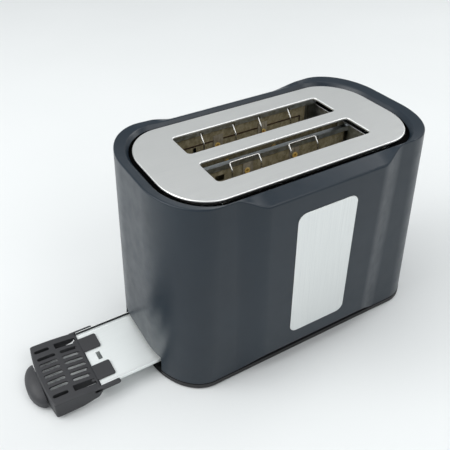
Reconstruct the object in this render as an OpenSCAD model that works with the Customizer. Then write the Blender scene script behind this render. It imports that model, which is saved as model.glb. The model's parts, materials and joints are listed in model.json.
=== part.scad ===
// Two-slice pop-up toaster, millimetres, Z up.
// Origin: on the worktop, under the centre of the body. X runs along the slots:
// the crumb tray pulls out at -X, the lever and controls are at +X, and the
// badge is on the front, at -Y. The crumb tray is drawn pulled out.

/* [Bread slots] */
// Length of each slot
slot_length = 140; // [130:1:145]
// Width of each slot
slot_width = 29.6; // [26:0.1:30]
// Metal left between the two slots
slot_gap = 15; // [14.8:0.1:16]
// Corner radius of a slot
slot_radius = 3.5; // [1:0.5:5]

/* [Body] */
// Length of the body at its top edge
body_length = 242; // [238:1:250]
// Width of the body beside the bulge
body_width = 137.5; // [136:0.5:142]
// How far the middle of each long side stands out
bulge = 7.4; // [4:0.1:10]
// Height of the body at its corners
body_height = 177; // [175:0.5:180]
// How much lower the top edge is along the bulge
edge_drop = 8.5; // [2:0.5:9]
// Slope of the two end walls
end_slope = 3.04; // [2:0.01:4]
// Thickness of the moulded wall
wall = 2.4; // [2:0.1:2.6]

/* [Badge] */
// Width of the badge plate
badge_width = 54.7; // [40:0.1:60]
// Height of the badge plate
badge_height = 119.6; // [90:0.1:122]
// Height of the badge's centre above the worktop
badge_centre = 92.5; // [88:0.5:96]

/* [Crumb tray] */
// How far the tray stands pulled out, from closed
tray_travel = 88.5; // [60:0.5:89]
// Width of the tray's sheet
tray_width = 64.2; // [60:0.2:64.4]
// Width of the tray's handle
handle_width = 69; // [68.8:0.2:70]

/* [Controls] */
// How far the lever travels down
lever_travel = 52; // [40:1:54]
// Diameter of the browning knob
knob_diameter = 34; // [26:1:36]
// How far a button is pressed in
button_travel = 2; // [1:0.5:2.5]

/* [Detail] */
// Facets on round pieces
round_steps = 48; // [24:4:64]
// Points along each rounded corner of the body
corner_steps = 20; // [8:1:24]
// Points along each wave where the long side steps out
wave_steps = 10; // [6:1:14]

/* [Hidden] */

// Colours
shell_grey = [0.16, 0.18, 0.2];
part_grey = [0.3, 0.3, 0.32];
aluminium_grey = [0.8, 0.81, 0.8];
steel_grey = [0.68, 0.71, 0.72];
dark_steel = [0.35, 0.36, 0.37];
mica_brown = [0.47, 0.41, 0.3];
mica_grey = [0.55, 0.5, 0.44];
brass_gold = [0.8, 0.6, 0.22];
board_green = [0.1, 0.32, 0.2];
copper_red = [0.6, 0.3, 0.16];
black_grey = [0.08, 0.08, 0.09];

// Small gaps used all over the model
touch = 0.1;
gap = 0.3;
cut = 1;

// Body outline
half_top = body_length / 2;
half_width = body_width / 2;
corner_x = 36;
corner_y = 52;
wave_out = 75;
wave_in = 50;
rim_bottom = 5.7;
arch_rise = 12.6;
slope = tan(end_slope);

// Rim and groove round the top plate
crest_length = 113.4;
crest_width = 64.8;
crest_z = 174.4;
crest_corner_y = 50;
rim_bevel = 2.8;
rim_bevel_drop = 3.6;
lip = 1.2;
shelf_top = 167.4;
shelf_thick = 1.6;
shelf_inset_x = 8.5;
shelf_inset_y = 10.6;

// Top plate
plate_half_length = 108.1;
plate_half_width = 57.7;
plate_corner_x = 33;
plate_corner_y = 42;
plate_top = 173.6;
sheet = 0.8;
slot_lip = 1.8;

// Bread slot centre line and its two edges
slot_inner = slot_gap / 2;
slot_y = slot_inner + slot_width / 2;
slot_outer = slot_inner + slot_width;

// Base
base_low = 1.5;
base_floor = 4;
band_top = 5.4;
base_wall_top = 20;
base_wall = 2;
base_half_length = half_top + (body_height - base_wall_top) * slope - wall - 0.6;
base_half_width = half_width - wall - 0.5;
notch_x = 88;
notch_floor = 2.2;
tray_rail_y = 28.3;
tray_rail_length = 160;
tray_space_half = 35;
frame_screw_y = 41;
opening_half = 36.3;
opening_top = 20.7;
foot_x = 98;
foot_y = 42;
boss_x = 98;
boss_y = 56.5;
boss_radius = 4;
boss_low = 20.5;
boss_high = 40;
screw_radius = 1.5;

// Inner frame
frame_x = 74;
frame_half = 50;
frame_top = 165;
frame_foot = 11;
shield_y = 50.4;
rack_slot_low = 24;
rack_slot_high = 97;
board_low = 36;
outer_board_ends = [-65.5, 64.5];
inner_board_ends = [-71, 71];
outer_notch = [-49, -46];
inner_notch = [-54.8, -46.6];
notch_low = 149.6;
notch_high = 155.2;
wire_reach = 59;
board_thick = 1;
outer_face = 42;
inner_face = 5;

// The four heater walls: the tops of their rails, then wires, strips, rivets and guard wires.
// The two inner walls stand back to back between the slots.
rail_high = 171.3;
rail_inner_front = 164;
rail_inner_rear = 166.4;
rail_drop = 4;
first_wire_outer = 156.8;
first_wire_inner = 148.8;
wire_pitch = 12;
wire_rows = 10;
strip_x = [-25.2, 19.1];
eyelet_x = [-26.2, 19.8];
eyelet_z = 152.2;
back_eyelet_x = [-39, 5.3];
back_eyelet_z = 159.2;
strip_rivets = [for (x = eyelet_x) [x, eyelet_z]];
back_rivets = [for (x = back_eyelet_x) [x, back_eyelet_z]];
outer_strip_gap = 2.6;
inner_strip_gap = 0.4;
outer_depth = 4;
inner_depth = 3.4;
eyelet_radius = 2.5;
eyelet_bore = 1.2;
eyelet_barrel = 1.8;
guard_radius = 0.7;
bend_radius = 0.77;
outer_reach = 6.2;
inner_reach = 4.6;
outer_start = 1.2;
inner_start = 1.6;
outer_guard_drop = 2.7;
inner_guard_lift = 1.05;
// Walls with strips hanging on their eyelets: face, way it looks, top of the strips
strip_walls = [[outer_face, -1, 161.5], [-outer_face, 1, 161.5], [-inner_face, -1, 159.8]];
strip_low = 120;
strip_half = 4.6;
guard_pairs_outer = [[-42.5, -12], [13.3, 43.7]];
guard_pairs_inner = [[-43, -16.5], [12, 38.5]];
guard_low = 36;

// Carriage and its guide
rod_x = 97;
rod_radius = 2.5;
rod_bore = 2.55;
rod_low = 14;
rod_high = 160;
bracket_half = 10;
bracket_low = 144;
bracket_top = 158;
bracket_thick = 1.2;
boss_top = 22;
spring_low = 22.2;
spring_high = 110.6;
spring_radius = 4.4;
spring_wire = 0.5;
spring_turns = 17;
slider_low = 111;
slider_high = 139;
bush_radius = 6.5;
arm_x = 86;
arm_deep = 4;
seat_x = 108;
rack_end = 88.9;
rack_low = 80;
rack_high = 90;
rack_thick = 1.2;
lever_z = 143;
lever_half = 1.2;
lever_end = 138;
magnet_y = -19;
magnet_low = 18;
magnet_top = 44;

// Control end
board_x = 106;
panel_low = 27;
panel_high = 87;
panel_half = 22;
knob_z = 47;
button_z = 74;
button_pitch = 13.5;
button_half_y = 5;
button_half_z = 3.6;
knob_shaft = 3;
lever_slot_half = 3.2;

// Cord gland, in the rear wall of the base under the arch
gland_x = 44;
gland_z = 12;
gland_bore = 3.6;
gland_neck = 4.6;
gland_flange = 6;

// Crumb tray
sheet_z = 11.7;
tray_low = 2.5;
tray_end = 86 - tray_travel;
tray_lip = 3.4;
tray_band = 2.2;
band_rise = 0.3;
handle_inner = -88.8 - tray_travel;
handle_outer = handle_inner - 38.7;
catch_hole = [handle_inner + 7.9, handle_inner + 11.5, 4.5];
handle_bow = 3;
handle_top = 17.2;
crown_radius = 245;
handle_skin = 1.4;
handle_wall = 2.2;
tongue_half = 19.2;
tongue_end = handle_outer + 1.5;
rib_y = 20.5;
rib_low = 7;
arm_end = handle_inner + 13.5;
arm_low = 10.8;
arm_top = 14.8;
arm_thick = 2.35;
tab_y = 16.8;
tab_half = 8;
tab_end = handle_inner + 14.9;
vent_outer_x = handle_outer + 9;
vent_inner_x = handle_outer + 28;
vent_length = 15;
vent_short = 12.4;
vent_width = 3.3;
vent_pitch = 6.65;
vent_last_y = 25.5;
window_y = 25;
window_size = [18, 5.9];
grip_out = 11;
grip_half = 21.7;
grip_low = 3;
grip_side = 8;
grip_top = 16;

// The body's outline ------------------------------------------------------------------

function smooth(t) = t * t * (3 - 2 * t);

// How much of the bulge a point of the long side has
function share(x) = smooth(max(0, min(1, (wave_out - abs(x)) / (wave_out - wave_in))));

// Half length of the body at a height, on the sloping end walls
function half_length(z) = half_top + (body_height - z) * slope;

// One quarter of the outline: the rounded corner, then the wave in the long side
function corner(l, w, a, b) = [for (i = [0 : corner_steps])
    let (t = 90 * i / corner_steps) [l - a + a * cos(t), w - b + b * sin(t)]];
function wave(w, out) = [for (i = [0 : wave_steps])
    let (x = wave_out - (wave_out - wave_in) * i / wave_steps) [x, w + out * share(x)]];
function quarter(l, w, a, b, out) = concat(corner(l, w, a, b), wave(w, out));

function flip(points, sx, sy) = [for (p = points) [sx * p[0], sy * p[1]]];
function backwards(points) = [for (i = [len(points) - 1 : -1 : 0]) points[i]];

// The whole outline, anticlockwise from +X
function outline(l, w, a, b, out) =
    let (q = quarter(l, w, a, b, out))
    concat(q, backwards(flip(q, -1, 1)), flip(q, -1, -1), backwards(flip(q, 1, -1)));

// A plain rounded outline with elliptical corners, for flat pieces
function plain(l, w, a, b) =
    let (q = corner(l, w, a, b))
    concat(q, backwards(flip(q, -1, 1)), flip(q, -1, -1), backwards(flip(q, 1, -1)));

// A ring of the shell: an outline at height z, changed by rise along the bulge
function ring(points, z, rise) = [for (p = points) [p[0], p[1], z + rise * share(p[0])]];

// Closed skin through a loop of rings
module loft(rings) {
    n = len(rings[0]);
    m = len(rings);
    points = [for (r = rings) for (p = r) p];
    faces = [for (r = [0 : m - 1]) for (i = [0 : n - 1])
        let (a = r * n + i, b = r * n + (i + 1) % n)
        let (c = ((r + 1) % m) * n + (i + 1) % n, d = ((r + 1) % m) * n + i)
        for (f = [[a, d, c], [a, c, b]]) f];
    polyhedron(points = points, faces = faces, convexity = 8);
}

// Shared shapes -----------------------------------------------------------------------

// Flat rectangle with round corners, from the centre
module rounded(w, h, r) {
    square([w - 2 * r, h], center = true);
    square([w, h - 2 * r], center = true);
    for (sx = [-1, 1])
        for (sy = [-1, 1])
            translate([sx * (w / 2 - r), sy * (h / 2 - r)])
                circle(r, $fn = round_steps);
}

// Rod along X, Y or Z from a point
module rod_along_z(p, r, h) {
    translate(p)
        cylinder(h = h, r = r, $fn = round_steps);
}
module rod_along_x(p, r, h) {
    translate(p)
        rotate([0, 90, 0])
            cylinder(h = h, r = r, $fn = round_steps);
}
module rod_along_y(p, r, h) {
    translate(p)
        rotate([-90, 0, 0])
            cylinder(h = h, r = r, $fn = round_steps);
}

// Box from its lowest to its highest corner
module box(lo, hi) {
    translate(lo)
        cube([hi[0] - lo[0], hi[1] - lo[1], hi[2] - lo[2]]);
}

// Pan head screw with its slot left out, head down and tip up
module screw(p, length) {
    translate(p)
        rotate_extrude($fn = round_steps)
            polygon([[0, 0.9], [0.8, 0.9], [0.8, 0], [3, 0], [3, 1.8], [1.45, 1.8],
                     [1.45, length - 1.5], [0, length]]);
}

// Casing ------------------------------------------------------------------------------

module shell_skin() {
    zb = rim_bottom;
    outer_low = outline(half_length(zb), half_width, corner_x, corner_y, bulge);
    outer_high = outline(half_top, half_width, corner_x, corner_y, bulge);
    crest = outline(crest_length, crest_width, crest_length - wave_out - cut, crest_corner_y, 0);
    valley = outline(crest_length - rim_bevel, crest_width - rim_bevel,
                     crest_length - rim_bevel - wave_out - cut, crest_corner_y - rim_bevel, 0);
    shelf = outline(crest_length - shelf_inset_x, crest_width - shelf_inset_y,
                    crest_length - shelf_inset_x - wave_out - cut, crest_corner_y - shelf_inset_y, 0);
    lip_out = outline(crest_length + lip, crest_width + lip,
                      crest_length + lip - wave_out - cut, crest_corner_y + lip, 0);
    inner_high = outline(half_top - wall, half_width - wall, corner_x - wall,
                         corner_y - wall, bulge);
    inner_low = outline(half_length(zb) - wall, half_width - wall, corner_x - wall,
                        corner_y - wall, bulge);
    loft([ring(outer_low, zb, arch_rise),
          ring(outer_high, body_height, -edge_drop),
          ring(crest, crest_z, 0),
          ring(valley, crest_z - rim_bevel_drop, 0),
          ring(valley, shelf_top, 0),
          ring(shelf, shelf_top, 0),
          ring(shelf, shelf_top - shelf_thick, 0),
          ring(lip_out, shelf_top - shelf_thick, 0),
          ring(lip_out, crest_z - wall, -edge_drop / 3),
          ring(inner_high, body_height - wall, -edge_drop),
          ring(inner_low, zb, arch_rise)]);
}

// Cuts for the lever, the knob's shaft and the buttons
module control_cuts(x0, x1) {
    box([x0, -lever_slot_half, lever_z - lever_travel - 5], [x1, lever_slot_half, lever_z + 5]);
    rod_along_x([x0, 0, knob_z], knob_shaft + 0.8, x1 - x0);
    for (i = [-1, 0, 1])
        box([x0, i * button_pitch - button_half_y - gap, button_z - button_half_z - gap],
            [x1, i * button_pitch + button_half_y + gap, button_z + button_half_z + gap]);
}

module outer_shell() {
    color(shell_grey)
        difference() {
            union() {
                shell_skin();
                for (sx = [-1, 1])
                    for (sy = [-1, 1]) {
                        rod_along_z([sx * boss_x, sy * boss_y, boss_low], boss_radius, boss_high - boss_low);
                        translate([sx * boss_x, sy * (boss_y + 5), (boss_low + boss_high) / 2])
                            cube([2.4, 9, boss_high - boss_low], center = true);
                    }
            }
            for (sx = [-1, 1])
                for (sy = [-1, 1])
                    rod_along_z([sx * boss_x, sy * boss_y, boss_low - cut], screw_radius, 14);
            box([-half_length(0) - cut, -opening_half, 0], [-half_length(0) + 12, opening_half, opening_top]);
            control_cuts(half_top - 4, half_length(0) + cut);
            badge_recess();
        }
}

// Shallow seat for the badge in the front of the shell
module badge_recess() {
    translate([0, -half_width - bulge + 0.8, badge_centre])
        rotate([90, 0, 0])
            linear_extrude(3)
                rounded(badge_width + 2 * gap, badge_height + 2 * gap, 7 + gap);
}

module badge_plate() {
    color(aluminium_grey)
        translate([0, -half_width - bulge + 0.8, badge_centre])
            rotate([90, 0, 0])
                linear_extrude(1.2)
                    rounded(badge_width, badge_height, 7);
}

module plate_shape(inset) {
    polygon(plain(plate_half_length - inset, plate_half_width - inset,
                  plate_corner_x - inset, plate_corner_y - inset));
}

module slot_shapes(grow) {
    for (s = [-1, 1])
        translate([0, s * slot_y])
            rounded(slot_length + 2 * grow, slot_width + 2 * grow, slot_radius + grow);
}

module top_plate() {
    color(aluminium_grey)
        difference() {
            union() {
                difference() {
                    translate([0, 0, shelf_top + touch])
                        linear_extrude(plate_top - shelf_top - touch)
                            plate_shape(0);
                    translate([0, 0, shelf_top])
                        linear_extrude(plate_top - sheet - shelf_top)
                            plate_shape(sheet);
                }
                translate([0, 0, plate_top - slot_lip])
                    linear_extrude(slot_lip)
                        slot_shapes(sheet);
            }
            translate([0, 0, shelf_top - cut])
                linear_extrude(plate_top - shelf_top + 2 * cut)
                    slot_shapes(0);
        }
}

// Base --------------------------------------------------------------------------------

module base_plate() {
    color(black_grey)
        difference() {
            union() {
                translate([0, 0, base_low])
                    linear_extrude(band_top - base_low)
                        polygon(plain(half_length(band_top) + gap, half_width + gap,
                                      corner_x + gap, corner_y + gap));
                translate([0, 0, base_low])
                    linear_extrude(base_wall_top - base_low)
                        polygon(plain(base_half_length, base_half_width, corner_x - wall, corner_y - wall));
            }
            translate([0, 0, base_floor])
                linear_extrude(base_wall_top)
                    difference() {
                        polygon(plain(base_half_length - base_wall, base_half_width - base_wall,
                                      corner_x - wall - base_wall, corner_y - wall - base_wall));
                        for (s = [-1, 1])
                            translate([-83, s * tray_rail_y - 0.8])
                                square([tray_rail_length, 1.6]);
                        translate([rod_x, 0])
                            circle(6, $fn = round_steps);
                        translate([gland_x, base_half_width])
                            square([18, 20], center = true);
                    }
            // the rails that the tray slides on are lower than the walls
            box([-85, -tray_space_half, sheet_z - touch], [80, tray_space_half, base_wall_top + cut]);
            rod_along_z([rod_x, 0, rod_low], rod_bore, 20);
            // the tray's handle slides in over a thin floor
            box([-150, -opening_half - gap, notch_floor], [-notch_x, opening_half + gap, 30]);
            for (sx = [-1, 1])
                for (sy = [-1, 1]) {
                    rod_along_z([sx * foot_x, sy * foot_y, 0], 3.2, 10);
                    rod_along_z([sx * boss_x, sy * boss_y, 0], 1.9, 30);
                    rod_along_z([sx * boss_x, sy * boss_y, 0], 3.4, base_low + 0.6);
                }
            for (x = [-60 : 15 : 60])
                for (y = [-48, 0, 48])
                    translate([x, y, 0])
                        linear_extrude(10)
                            rounded(4, 18, 1.9);
            for (sx = [-1, 1])
                for (sy = [-1, 1])
                    rod_along_z([sx * (frame_x + 6.5), sy * frame_screw_y, 0], 1.3, 10);
            rod_along_y([gland_x, base_half_width - 12, gland_z], gland_neck, 20);
        }
}

// Turned rubber foot, pressed through the base
module feet() {
    color(black_grey)
        for (sx = [-1, 1])
            for (sy = [-1, 1])
                translate([sx * foot_x, sy * foot_y, 0])
                    rotate_extrude($fn = round_steps)
                        polygon([[0, 0], [7.2, 0], [8, 0.6], [8, base_low - 0.05], [3.1, base_low - 0.05],
                                 [3.1, base_floor + 0.05], [4.4, base_floor + 0.05],
                                 [3.2, base_floor + 2.4], [0, base_floor + 2.4]]);
}

module base_screws() {
    color(steel_grey)
        for (sx = [-1, 1])
            for (sy = [-1, 1])
                screw([sx * boss_x, sy * boss_y, base_low - 1.25], 29);
}

module cord_gland() {
    color(black_grey)
        translate([gland_x, 0, gland_z])
            rotate([-90, 0, 0])
                difference() {
                    union() {
                        translate([0, 0, base_half_width - 11])
                            cylinder(h = 11 + 1.5, r = gland_neck - 0.05, $fn = round_steps);
                        translate([0, 0, base_half_width + 0.05])
                            cylinder(h = 2.4, r = gland_flange, $fn = round_steps);
                        translate([0, 0, base_half_width - 12.6])
                            cylinder(h = 2.4, r = gland_neck + 0.9, $fn = round_steps);
                    }
                    translate([0, 0, base_half_width - 20])
                        cylinder(h = 40, r = gland_bore, $fn = round_steps);
                }
}

// Inner frame -------------------------------------------------------------------------

// Sheet end frame. Its foot and its top flange turn away from the slots.
module end_frame(side, top_flange) {
    x0 = side > 0 ? frame_x : -frame_x - sheet;
    out = side > 0 ? frame_x : -frame_x - frame_foot;
    color(dark_steel)
        difference() {
            union() {
                box([x0, -frame_half, base_floor + touch], [x0 + sheet, frame_half, frame_top]);
                box([out, -frame_half, base_floor + touch],
                    [out + frame_foot, frame_half, base_floor + touch + sheet]);
                for (s = [-1, 1])
                    box([side > 0 ? frame_x : -frame_x - top_flange, s * 38 - 12, frame_top - 9],
                        [side > 0 ? frame_x + top_flange : -frame_x, s * 38 + 12, frame_top - 9 + sheet]);
            }
            // the crumb tray passes under the frame
            box([x0 - 30, -tray_space_half - touch, 0], [x0 + 30, tray_space_half + touch, 19]);
            for (s = [-1, 1]) {
                box([x0 - cut, s * slot_y - 1.6, rack_slot_low],
                    [x0 + sheet + cut, s * slot_y + 1.6, rack_slot_high]);
                rod_along_z([side * (frame_x + 6.5), s * frame_screw_y, 0], 1.75, 10);
            }
            for (s = [-1, 1])
                for (z = [60, 85, 110, 135])
                    translate([x0 - cut, s * 45.5, z])
                        rotate([0, 90, 0])
                            linear_extrude(sheet + 2 * cut)
                                rounded(16, 3, 1.4);
        }
}

module left_end_frame() {
    end_frame(-1, 5);
}

module right_end_frame() {
    end_frame(1, 5);
}

// Reflector sheet beside the outer heater, with turned ends
module heat_shield(s) {
    y = s * shield_y;
    color(steel_grey)
        difference() {
            union() {
                box([-frame_x - 6, y - 0.3, 24], [frame_x + 6, y + 0.3, 164]);
                for (z = [24, 163.4])
                    box([-frame_x + cut, s > 0 ? y - 3.6 : y, z],
                        [frame_x - cut, s > 0 ? y : y + 3.6, z + 0.6]);
            }
            for (x = [-54 : 18 : 54])
                translate([x, y, 40])
                    rotate([90, 0, 0])
                        translate([0, 0, -cut])
                            linear_extrude(2 * cut)
                                rounded(4, 14, 1.9);
        }
}

module front_heat_shield() {
    heat_shield(-1);
}

module rear_heat_shield() {
    heat_shield(1);
}

// Heater walls ------------------------------------------------------------------------

// Places a wall drawn with its face at y = 0, looking towards +Y
module facing(y, way) {
    translate([0, y, 0])
        scale([1, way, 1])
            children();
}

module mica_board(face, way, top, ends, notch, rivets) {
    color(mica_brown)
        facing(face, way)
            difference() {
                box([ends[0], -board_thick, board_low], [ends[1], 0, top]);
                box([notch[0], -board_thick - cut, notch_low], [notch[1], cut, notch_high]);
                for (p = rivets)
                    rod_along_y([p[0], -board_thick - cut, p[1]],
                                eyelet_barrel + 0.05, board_thick + 2 * cut);
            }
}

// Flat ribbon wound in one unbroken zigzag over the board's face
module heating_wire(face, way, first) {
    color(copper_red)
        facing(face, way)
            for (i = [0 : wire_rows - 1]) {
                z = first - i * wire_pitch;
                end = i % 2 == 0 ? wire_reach : -wire_reach;
                box([-wire_reach, 0.02, z - 0.6], [wire_reach, 0.32, z + 0.6]);
                if (i < wire_rows - 1)
                    box([end - 0.6, 0.02, z - wire_pitch - 0.6], [end + 0.6, 0.32, z + 0.6]);
            }
}

// Angle that caps the board: a strip in front of it, notched for the guard wires, and a
// flange over it
module upper_rail(face, way, top, strip_gap, depth, pairs) {
    color(steel_grey)
        facing(face, way)
            difference() {
                union() {
                    box([-frame_x + touch, strip_gap, top - rail_drop],
                        [frame_x - touch, strip_gap + sheet, top]);
                    box([-frame_x + touch, -depth, top - sheet],
                        [frame_x - touch, strip_gap + sheet, top]);
                }
                for (p = pairs)
                    for (x = p)
                        box([x - 1.5, strip_gap - cut, top - rail_drop - cut],
                            [x + 1.5, strip_gap + sheet + cut, top - rail_drop + 2.4]);
            }
}

// Ledge under the board that also takes the ends of the guard wires
module lower_rail(face, way, depth, reach) {
    color(steel_grey)
        facing(face, way)
            union() {
                box([-frame_x + touch, -depth, board_low - touch - sheet],
                    [frame_x - touch, reach + 1.4, board_low - touch]);
                box([-frame_x + touch, -depth, board_low - 7],
                    [frame_x - touch, -depth + sheet, board_low - touch]);
            }
}

// One bent guard wire: a bridge along the rail, two slanting shoulders and two legs
module guard_hairpin(x0, x1, top, start, reach) {
    drop = reach + 0.6;
    for (x = [x0, x1]) {
        rod_along_z([x, start + reach, guard_low], guard_radius, top - drop - guard_low);
        translate([x, start + reach, top - drop])
            sphere(bend_radius, $fn = round_steps);
        translate([x, start, top])
            sphere(bend_radius, $fn = round_steps);
        translate([x, start, top])
            rotate([-180 + atan2(reach, drop), 0, 0])
                cylinder(h = norm([reach, drop]), r = guard_radius, $fn = round_steps);
    }
    rod_along_x([x0, start, top], guard_radius, x1 - x0);
}

module guard_wires(face, way, pairs, top, start, reach) {
    color(steel_grey)
        facing(face, way)
            for (p = pairs)
                guard_hairpin(p[0], p[1], top, start, reach);
}

module mica_strips() {
    color(mica_grey)
        for (w = strip_walls)
            facing(w[0], w[1])
                for (i = [0, 1])
                    difference() {
                        box([strip_x[i] - strip_half, 0.4, strip_low], [strip_x[i] + strip_half, 0.7, w[2]]);
                        rod_along_y([eyelet_x[i], 0, eyelet_z], eyelet_barrel + 0.05, 2);
                    }
}

// Hollow rivet through a board, its front flange standing off the face by front
module eyelet(x, z, front) {
    back = board_thick + 0.05;
    translate([x, 0, z])
        rotate([-90, 0, 0])
            difference() {
                union() {
                    translate([0, 0, front])
                        cylinder(h = 0.5, r = eyelet_radius, $fn = round_steps);
                    translate([0, 0, -back - 0.5])
                        cylinder(h = 0.5, r = eyelet_radius, $fn = round_steps);
                    translate([0, 0, -back - 0.2])
                        cylinder(h = front + back + 0.4, r = eyelet_barrel, $fn = round_steps);
                }
                translate([0, 0, -back - cut])
                    cylinder(h = front + back + 3 * cut, r = eyelet_bore, $fn = round_steps);
            }
}

module eyelets() {
    color(brass_gold) {
        for (w = strip_walls)
            facing(w[0], w[1])
                for (x = eyelet_x)
                    eyelet(x, eyelet_z, 0.75);
        facing(inner_face, 1)
            for (x = back_eyelet_x)
                eyelet(x, back_eyelet_z, 0.05);
    }
}

// Carriage ----------------------------------------------------------------------------

module guide_rod() {
    color(steel_grey)
        rod_along_z([rod_x, 0, rod_low + touch], rod_radius, rod_high - rod_low);
}

// Bracket from the right end frame that holds the rod's top
module rod_bracket() {
    color(dark_steel)
        difference() {
            union() {
                box([frame_x + sheet + touch, -bracket_half, bracket_low],
                    [frame_x + 2 * sheet + touch, bracket_half, bracket_top]);
                box([frame_x + sheet + touch, -bracket_half, bracket_top - bracket_thick],
                    [rod_x + 7, bracket_half, bracket_top]);
            }
            rod_along_z([rod_x, 0, 150], rod_bore, 20);
        }
}

function coil_point(t) = [rod_x + spring_radius * cos(360 * t), spring_radius * sin(360 * t),
    spring_low + spring_wire + (spring_high - spring_low - 2 * spring_wire) * t / spring_turns];

// Round wire swept along a helix about the rod
module return_spring() {
    per_turn = 12;
    sides = 6;
    steps = spring_turns * per_turn;
    points = [for (i = [0 : steps]) let (t = i / per_turn, c = coil_point(t)) for (k = [0 : sides - 1])
        let (r = spring_wire * cos(360 * k / sides))
        [c[0] + r * cos(360 * t), c[1] + r * sin(360 * t), c[2] + spring_wire * sin(360 * k / sides)]];
    sides_list = [for (i = [0 : steps - 1]) for (k = [0 : sides - 1])
        let (a = i * sides + k, b = i * sides + (k + 1) % sides)
        for (f = [[a, b, b + sides], [a, b + sides, a + sides]]) f];
    cap_low = [[for (k = [sides - 1 : -1 : 0]) k]];
    cap_high = [[for (k = [0 : sides - 1]) steps * sides + k]];
    color(steel_grey)
        polyhedron(points = points, faces = concat(sides_list, cap_low, cap_high), convexity = 10);
}

// Moulded slider: a bush on the rod and a cross arm to the two bread racks
module carriage_slider() {
    shelf_low = magnet_top + lever_travel + 2;
    color(part_grey)
        difference() {
            union() {
                rod_along_z([rod_x, 0, slider_low], bush_radius, slider_high - slider_low);
                // cross arm to the racks, and the post that joins it to the bush
                box([arm_x, -27, rack_low + 2], [arm_x + arm_deep, 27, rack_high + 4]);
                box([arm_x, -8, rack_low + 2], [arm_x + arm_deep, 8, slider_high - 4]);
                box([arm_x + 2, -3, slider_low], [rod_x, 3, slider_high - 4]);
                // seat of the lever arm
                box([rod_x, -4, lever_z - 14], [seat_x, 4, slider_high]);
                // shelf that carries the keeper over the magnet
                box([arm_x + 2, magnet_y - 7, shelf_low], [seat_x, magnet_y + 7, shelf_low + 3]);
                box([arm_x + 2, magnet_y - 7, rack_low + 2],
                    [arm_x + arm_deep, magnet_y + 7, shelf_low + 1]);
            }
            rod_along_z([rod_x, 0, slider_low - cut], rod_bore, slider_high - slider_low + 2 * cut);
            for (s = [-1, 1])
                box([arm_x - cut, s * slot_y - rack_thick / 2 - 0.05, rack_low],
                    [rack_end + touch, s * slot_y + rack_thick / 2 + 0.05, rack_high + 0.05]);
        }
}

// Toothed bread carrier that runs the length of a slot
module bread_rack(s) {
    color(steel_grey) {
        box([-frame_x - 6, s * slot_y - rack_thick / 2, rack_low],
            [rack_end, s * slot_y + rack_thick / 2, rack_high]);
        for (x = [-60 : 24 : 60])
            box([x - 1, s * slot_y - 8, rack_high - 3], [x + 1, s * slot_y + 8, rack_high - 1.8]);
    }
}

module bread_rack_front() {
    bread_rack(-1);
}

module bread_rack_rear() {
    bread_rack(1);
}

// Steel strip from the slider out through the slot in the end wall
module lever_arm() {
    color(dark_steel)
        union() {
            box([rod_x + 8, -2, slider_high + touch], [seat_x, 2, lever_z + lever_half]);
            box([rod_x + 8, -2, lever_z - lever_half], [lever_end, 2, lever_z + lever_half]);
        }
}

module lever_knob() {
    color(part_grey)
        difference() {
            translate([137.5, 0, lever_z])
                rotate([0, 90, 0])
                    translate([0, 0, -9.5])
                        hull() {
                            linear_extrude(3)
                                rounded(13, 30, 3);
                            translate([0, 0, 16])
                                linear_extrude(2)
                                    rounded(9, 25, 3);
                        }
            box([120, -2.05, lever_z - lever_half - 0.05],
                [lever_end + 0.05, 2.05, lever_z + lever_half + 0.05]);
        }
}

module keeper_plate() {
    color(steel_grey)
        box([90.5, magnet_y - 6, magnet_top + lever_travel + 0.4],
            [106, magnet_y + 6, magnet_top + lever_travel + 2 - 0.05]);
}

// Hold-down magnet: an E core standing in its coil
module magnet_core() {
    color(dark_steel)
        union() {
            box([90.5, magnet_y - 7, magnet_low - 13.9], [105.5, magnet_y + 7, magnet_low]);
            for (x = [90.5, 96.5, 102.5])
                box([x, magnet_y - 4, magnet_low], [x + 3, magnet_y + 4, magnet_top]);
        }
}

module magnet_coil() {
    color(copper_red)
        difference() {
            box([94, magnet_y - 6.5, magnet_low + touch], [102, magnet_y + 6.5, magnet_top - 4]);
            box([96.4, magnet_y - 4.1, magnet_low], [99.6, magnet_y + 4.1, magnet_top]);
        }
}

// Controls ----------------------------------------------------------------------------

module control_board() {
    color(board_green)
        difference() {
            box([board_x + 3, -30, 23], [board_x + 4.6, 30, 86]);
            for (sy = [-1, 1])
                for (z = [27, 82])
                    rod_along_x([board_x, sy * 26.5, z], 1.6, 10);
        }
}

module potentiometer() {
    color(dark_steel)
        difference() {
            rod_along_x([board_x + 4.7, 0, knob_z], 8, 5);
            rod_along_x([board_x + 5.7, 0, knob_z], knob_shaft + 0.05, 5);
        }
}

module button_switches() {
    color(black_grey)
        for (i = [-1, 0, 1])
            union() {
                box([board_x + 4.7, i * button_pitch - 3, button_z - 3],
                    [board_x + 8.3, i * button_pitch + 3, button_z + 3]);
                rod_along_x([board_x + 8, i * button_pitch, button_z], 1.7, 1);
            }
}

module terminal_block() {
    color(aluminium_grey)
        difference() {
            box([104, 13, base_floor + touch], [118, 29, 17]);
            for (y = [17, 25])
                rod_along_z([111, y, 9], 1.8, 10);
        }
}

module frame_screws() {
    color(steel_grey)
        for (sx = [-1, 1])
            for (sy = [-1, 1])
                translate([sx * (frame_x + 6.5), sy * frame_screw_y, 0])
                    rotate_extrude($fn = round_steps)
                        polygon([[0, base_low], [1.2, base_low], [1.2, base_floor + touch + sheet + 0.05],
                                 [2.8, base_floor + touch + sheet + 0.05], [2.4, 6.6], [0, 6.6]]);
}

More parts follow.
